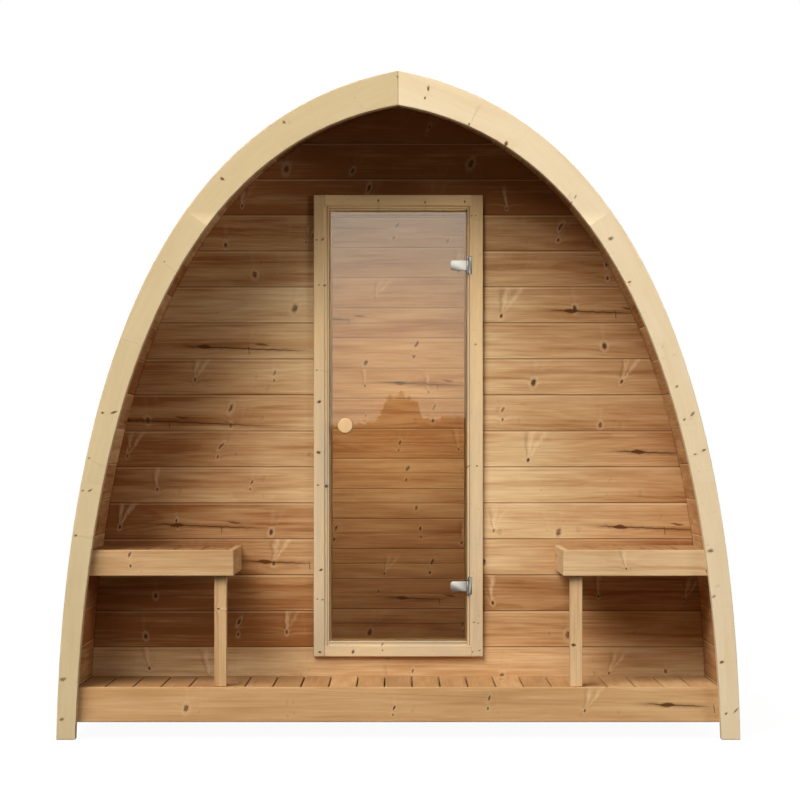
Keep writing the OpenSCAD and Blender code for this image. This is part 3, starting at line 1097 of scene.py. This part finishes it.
def slatted(node, name, gap):
    """Boards from front to back, with one board on the cabin's axis."""
    source = frame["nodes"][node]
    pitch = sizes().deck_board
    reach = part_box(node)[1].x
    count = math.ceil(reach / pitch)
    boards = []
    for i in range(-count, count + 1):
        low, high = (i - 0.5) * pitch + gap / 2, (i + 0.5) * pitch - gap / 2
        board = cut_between(source, (X * low, X), (X * high, -X))
        if board is None:
            continue
        soften(board, sizes().edge, 2)
        # The deck is a little deeper on the left, as painted shade from the cabin's left side.
        boards.append(lay_grain(board, Y, X, tone=draw.gauss(0.75 - 0.35 * low, 0.12)))
    return joined(boards, name)


# The front skirt's crack: place along the board and across it, and length
SKIRT_CRACK = (0.96, 0.0, 0.17)


class CABIN_OT_floors(bpy.types.Operator):
    """Lay the deck and the room's floor, and finish the timber that carries them"""

    bl_idname = "cabin.floors"
    bl_label = "Floors"

    def execute(self, context):
        timber = deck_timber()
        for node, name, gap in (
            ("porch_floor", "porch_deck_boards", sizes().deck_gap),
            ("room_floor", "room_floor_boards", sizes().deck_gap / 5),
        ):
            finish_piece(slatted(node, name, gap), timber, "deck_wood", node)
        plain_timber("floor_joists", X, Z, timber, "deck_wood", name="floor_joist_timber")
        plain_timber(
            "front_skirt", X, Z, timber, "deck_wood", name="front_skirt_board", tone=0.4, check=SKIRT_CRACK
        )
        for side in SIDES:
            plain_timber(f"side_bearer_{side}", Y, Z, timber, "deck_wood")
        return {"FINISHED"}


def plain_timber(node, along, across, material, slot, name=None, tone=None, check=None, painted_light=0):
    """Timber of the CAD's own shape, with planed edges, and each length with its own grain.

    A fade paints light on it, making it paler towards its top by so much of its tone in each metre.
    """
    parts = loose_parts(copy_of(frame["nodes"][node]))
    for part in parts:
        soften(part, sizes().edge, 2)
        shift = painted_light * (middle(part).z - corners(part)[:, 2])
        lay_grain(part, along, across, tone, check, shift)
    return finish_piece(joined(parts, name or f"{node}_timber"), material, slot, node)


# --- Door -------------------------------------------------------------------------------


# How much paler each piece of the door frame grows with every metre of height, as painted light on the
# upper part that the arch shades
FRAME_PAINTED_LIGHT = 0.32


class CABIN_OT_door_frame(bpy.types.Operator):
    """Plane the door frame"""

    bl_idname = "cabin.door_frame"
    bl_label = "Door frame"

    def execute(self, context):
        for node, along, across, tone in (
            ("door_jamb_left", Z, X, 0.78),
            ("door_jamb_right", -Z, -X, 0.72),
            # The head is nearly the palest, as painted light where the arch shades the top of the frame
            ("door_head", -X, -Z, 0.05),
            ("door_threshold", X, Z, 0.88),
        ):
            plain_timber(node, along, across, frame_timber(), "frame_pine", tone=tone, painted_light=FRAME_PAINTED_LIGHT)
        return {"FINISHED"}


class CABIN_OT_glass_door(bpy.types.Operator):
    """Grind the glass, and finish its hinges and knobs"""

    bl_idname = "cabin.glass_door"
    bl_label = "Glass door"

    def execute(self, context):
        glass = copy_of(frame["nodes"]["door_glass"])
        soften(glass, sizes().glass_edge, 2)
        smooth(glass)
        rename(glass, "door_glass_pane")
        finish_piece(glass, tinted_glass(), "tinted_glass", "door_glass", body="door")
        bright = satin_chrome("satin_chrome", colours().steel)
        # The brackets get the darker chrome, as painted shade of the frame's rebate
        darker = satin_chrome("dull_chrome", colours().bracket)
        for node, body, steel in (("hinge_clamps", "door", bright), ("hinge_brackets", "cabin", darker)):
            metal = copy_of(frame["nodes"][node])
            soften(metal, sizes().metal_edge, 3)
            smooth(metal)
            finish_piece(rename(metal, f"{node}_polished"), steel, "satin_steel", node, body=body)
        knobs = copy_of(frame["nodes"]["door_knobs"])
        smooth(knobs)
        lay_grain(knobs, Z, X, tone=0.3)
        rename(knobs, "door_knobs_turned")
        finish_piece(knobs, turned_timber(), "knob_wood", "door_knobs", body="door")
        return {"FINISHED"}


# --- Benches ----------------------------------------------------------------------------


# How deep the wood of each bench is, in its upright pieces and in its seat and bearers.
# The left seat and its bearers are deepest, as painted shade on the left seat.
UPRIGHT_TONES = {"left": 0.46, "right": 0.25}
SEAT_TONES = {"left": 1.0, "right": 0.75}


class CABIN_OT_benches(bpy.types.Operator):
    """Finish the two benches"""

    bl_idname = "cabin.benches"
    bl_label = "Benches"

    def execute(self, context):
        for side in SIDES:
            for part, along, across, tones in (
                ("seat", Y, X, SEAT_TONES),
                ("fascia", X, Z, UPRIGHT_TONES),
                ("apron", Y, Z, UPRIGHT_TONES),
                ("bearers", X, Z, SEAT_TONES),
                ("post", Z, X, UPRIGHT_TONES),
            ):
                node = f"bench_{part}_{side}"
                plain_timber(node, along, across, bench_timber(), "bench_wood", tone=tones[side])
        return {"FINISHED"}


# --- Stage ------------------------------------------------------------------------------


def seen_by(w, *kinds):
    """1 for rays of these kinds and 0 for all others."""
    path = w.add("ShaderNodeLightPath").outputs
    total = path[kinds[0]]
    for kind in kinds[1:]:
        total = w.larger(total, path[kind])
    return total


# The height that the lamps aim at
AIM = 1.1


class CABIN_OT_stage(bpy.types.Operator):
    """Set the floor, the light and the camera"""

    bl_idname = "cabin.stage"
    bl_label = "Stage"

    def execute(self, context):
        add_floor()
        add_surroundings()
        low, high = CAD_BOX
        front = Vector((0, low.y, AIM))
        back = Vector((0, high.y, AIM))
        for name, target, azimuth, elevation, distance, size, power in (
            ("key_light", front, -36, 42, 14.0, 9.0, 2520),
            ("high_light", front, -14, 42, 14.0, 9.0, 600),
            ("side_light", front, 52, 14, 12.0, 3.5, 400),
            ("back_light_left", back, -140, 35, 12.0, 8.0, 1500),
            ("back_light_right", back, 125, 35, 12.0, 8.0, 1500),
        ):
            add_softbox(name, target, azimuth, elevation, distance, size, power)
        # A small lamp just inside the front wall lights the rear wall that shows through the glass.
        reach = high.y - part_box("room_floor")[0].y - 0.15
        lamp = add_softbox("room_light", Vector((0, high.y, 1.15)), 0, 14, reach, 0.4, 6.0)
        lamp.data.spread = math.radians(80)
        add_camera()
        return {"FINISHED"}


def add_floor():
    """A white floor that keeps a faint shadow, and that glass and metal see as dull ground."""
    bpy.ops.object.select_all(action="DESELECT")
    bpy.ops.mesh.primitive_plane_add(size=120, location=(0, 0, 0))
    floor = rename(bpy.context.object, "studio_floor")
    material, w, surface = new_material("studio_white")
    surface.inputs["Base Color"].default_value = (0.06, 0.058, 0.055, 1)
    surface.inputs["Roughness"].default_value = 0.9
    white = w.add("ShaderNodeEmission", Color=(1, 1, 1, 1), Strength=1).outputs[0]
    lit = w.add("ShaderNodeBsdfDiffuse", Color=(1, 1, 1, 1)).outputs[0]
    darker = w.add("ShaderNodeEmission", Color=(0.16, 0.11, 0.07, 1), Strength=1).outputs[0]
    # The shadow is faint, and fades out between 1.5 and 5 m from the middle.
    place = w.add("ShaderNodeTexCoord").outputs["Object"]
    away = w.add("ShaderNodeVectorMath", {"operation": "LENGTH"}, Vector=place).outputs["Value"]
    faint = w.mix(w.times(w.fall(away, 1.5, 5), 0.05), white, lit)
    shown = w.mix(seen_by(w, "Is Camera Ray"), surface.outputs[0], faint)
    mirrored = w.mix(seen_by(w, "Is Glossy Ray"), shown, darker)
    w.feed(mirrored, material.node_tree.nodes["Material Output"].inputs["Surface"])
    floor.data.materials.append(material)


def add_surroundings():
    """White to look at, hardly any light on the wood, and for the glass an evening sky over treetops."""
    world = bpy.data.worlds.new("studio")
    bpy.context.scene.world = world
    world.use_nodes = True
    w = Wiring(world.node_tree)
    soft = world.node_tree.nodes["Background"]
    soft.inputs["Color"].default_value = (1, 1, 1, 1)
    soft.inputs["Strength"].default_value = 0.01
    x, _, z = w.split(w.add("ShaderNodeTexCoord").outputs["Generated"])
    # The line of treetops, with one mound of crowns a little right of the middle
    ridge = w.noise(w.build(w.times(x, 300), 1.37, 0.61), 5, 0.8)
    treetops = w.plus(w.times(ridge, 0.009), w.times(w.rise(x, -0.02, 0.02), 0.003), 0.0057)
    crown = w.noise(w.build(w.times(x, 520), 5.37, 0.61), 5, 0.8)
    mound = w.math("POWER", w.fall(w.size_of(w.minus(x, 0.0005)), 0.003, 0.0095), 0.45)
    bush = w.times(mound, w.plus(w.times(crown, 0.014), 0.003))
    leaves = w.noise(w.build(w.times(x, 900), 0.37, w.times(z, 900)), 3, 0.8)
    leaves = w.times(w.centred(leaves), 0.008)
    above = w.minus(z, w.plus(treetops, bush, leaves))
    sky = w.blend(w.rise(z, 0.015, 0.11), (1.45, 1.4, 1.15, 1), (2.8, 2.8, 2.55, 1))
    view = w.blend(w.rise(above, 0, 0.0006), (0.05, 0.03, 0.015, 1), sky)
    mirrored = w.add("ShaderNodeBackground", Color=view, Strength=1).outputs[0]
    white = w.add("ShaderNodeBackground", Color=(1, 1, 1, 1), Strength=1).outputs[0]
    direct = w.mix(seen_by(w, "Is Camera Ray", "Is Transmission Ray"), soft.outputs[0], white)
    choice = w.mix(seen_by(w, "Is Glossy Ray"), direct, mirrored)
    w.feed(choice, world.node_tree.nodes["World Output"].inputs["Surface"])


def add_softbox(name, target, azimuth, elevation, distance, size, power):
    """A square lamp that faces the target from a bearing, counted from the front towards the right."""
    a, e = math.radians(azimuth), math.radians(elevation)
    away = Vector((math.sin(a) * math.cos(e), -math.cos(a) * math.cos(e), math.sin(e)))
    bpy.ops.object.select_all(action="DESELECT")
    bpy.ops.object.light_add(type="AREA", location=target + away * distance)
    lamp = bpy.context.object
    lamp.name = lamp.data.name = name
    lamp.data.size = size
    lamp.data.energy = power
    lamp.rotation_euler = away.to_track_quat("Z", "Y").to_euler()
    lamp.visible_camera = False
    lamp.visible_glossy = False
    lamp.visible_transmission = False
    return lamp


def add_camera():
    """A long lens, level and far in front of the cabin, a little below half its height."""
    bpy.ops.object.select_all(action="DESELECT")
    bpy.ops.object.camera_add(location=(0, -9.955, 1.0295), rotation=(math.pi / 2, 0, 0))
    camera = bpy.context.object
    camera.name = camera.data.name = "camera"
    camera.data.lens = 110.97
    camera.data.shift_x = 0.0021
    camera.data.shift_y = 0.0625
    bpy.context.scene.camera = camera
    bpy.context.scene.view_settings.view_transform = "Standard"


# --- Add-on -----------------------------------------------------------------------------

STEPS = (
    CABIN_OT_arches,
    CABIN_OT_shell,
    CABIN_OT_front_wall,
    CABIN_OT_rear_wall,
    CABIN_OT_floors,
    CABIN_OT_door_frame,
    CABIN_OT_glass_door,
    CABIN_OT_benches,
    CABIN_OT_stage,
)


class CABIN_PT_steps(bpy.types.Panel):
    """Buttons for each part of the cabin, and the sizes and colours they use"""

    bl_idname = "CABIN_PT_steps"
    bl_label = "Arched sauna cabin"
    bl_space_type = "VIEW_3D"
    bl_region_type = "UI"
    bl_category = "Cabin"

    def draw(self, context):
        for step in STEPS:
            self.layout.operator(step.bl_idname)
        for settings in (context.scene.cabin_sizes, context.scene.cabin_colours):
            box = self.layout.box()
            for name in settings.__annotations__:
                box.prop(settings, name)


CLASSES = (CabinSizes, CabinColours, *STEPS, CABIN_PT_steps)


def register():
    for item in CLASSES:
        bpy.utils.register_class(item)
    bpy.types.Scene.cabin_sizes = bpy.props.PointerProperty(type=CabinSizes)
    bpy.types.Scene.cabin_colours = bpy.props.PointerProperty(type=CabinColours)


def unregister():
    del bpy.types.Scene.cabin_colours
    del bpy.types.Scene.cabin_sizes
    for item in reversed(CLASSES):
        bpy.utils.unregister_class(item)


def main():
    register()
    bpy.ops.cabin.arches()
    bpy.ops.cabin.shell()
    bpy.ops.cabin.front_wall()
    bpy.ops.cabin.rear_wall()
    bpy.ops.cabin.floors()
    bpy.ops.cabin.door_frame()
    bpy.ops.cabin.glass_door()
    bpy.ops.cabin.benches()
    bpy.ops.cabin.stage()


if __name__ == "__main__":
    main()
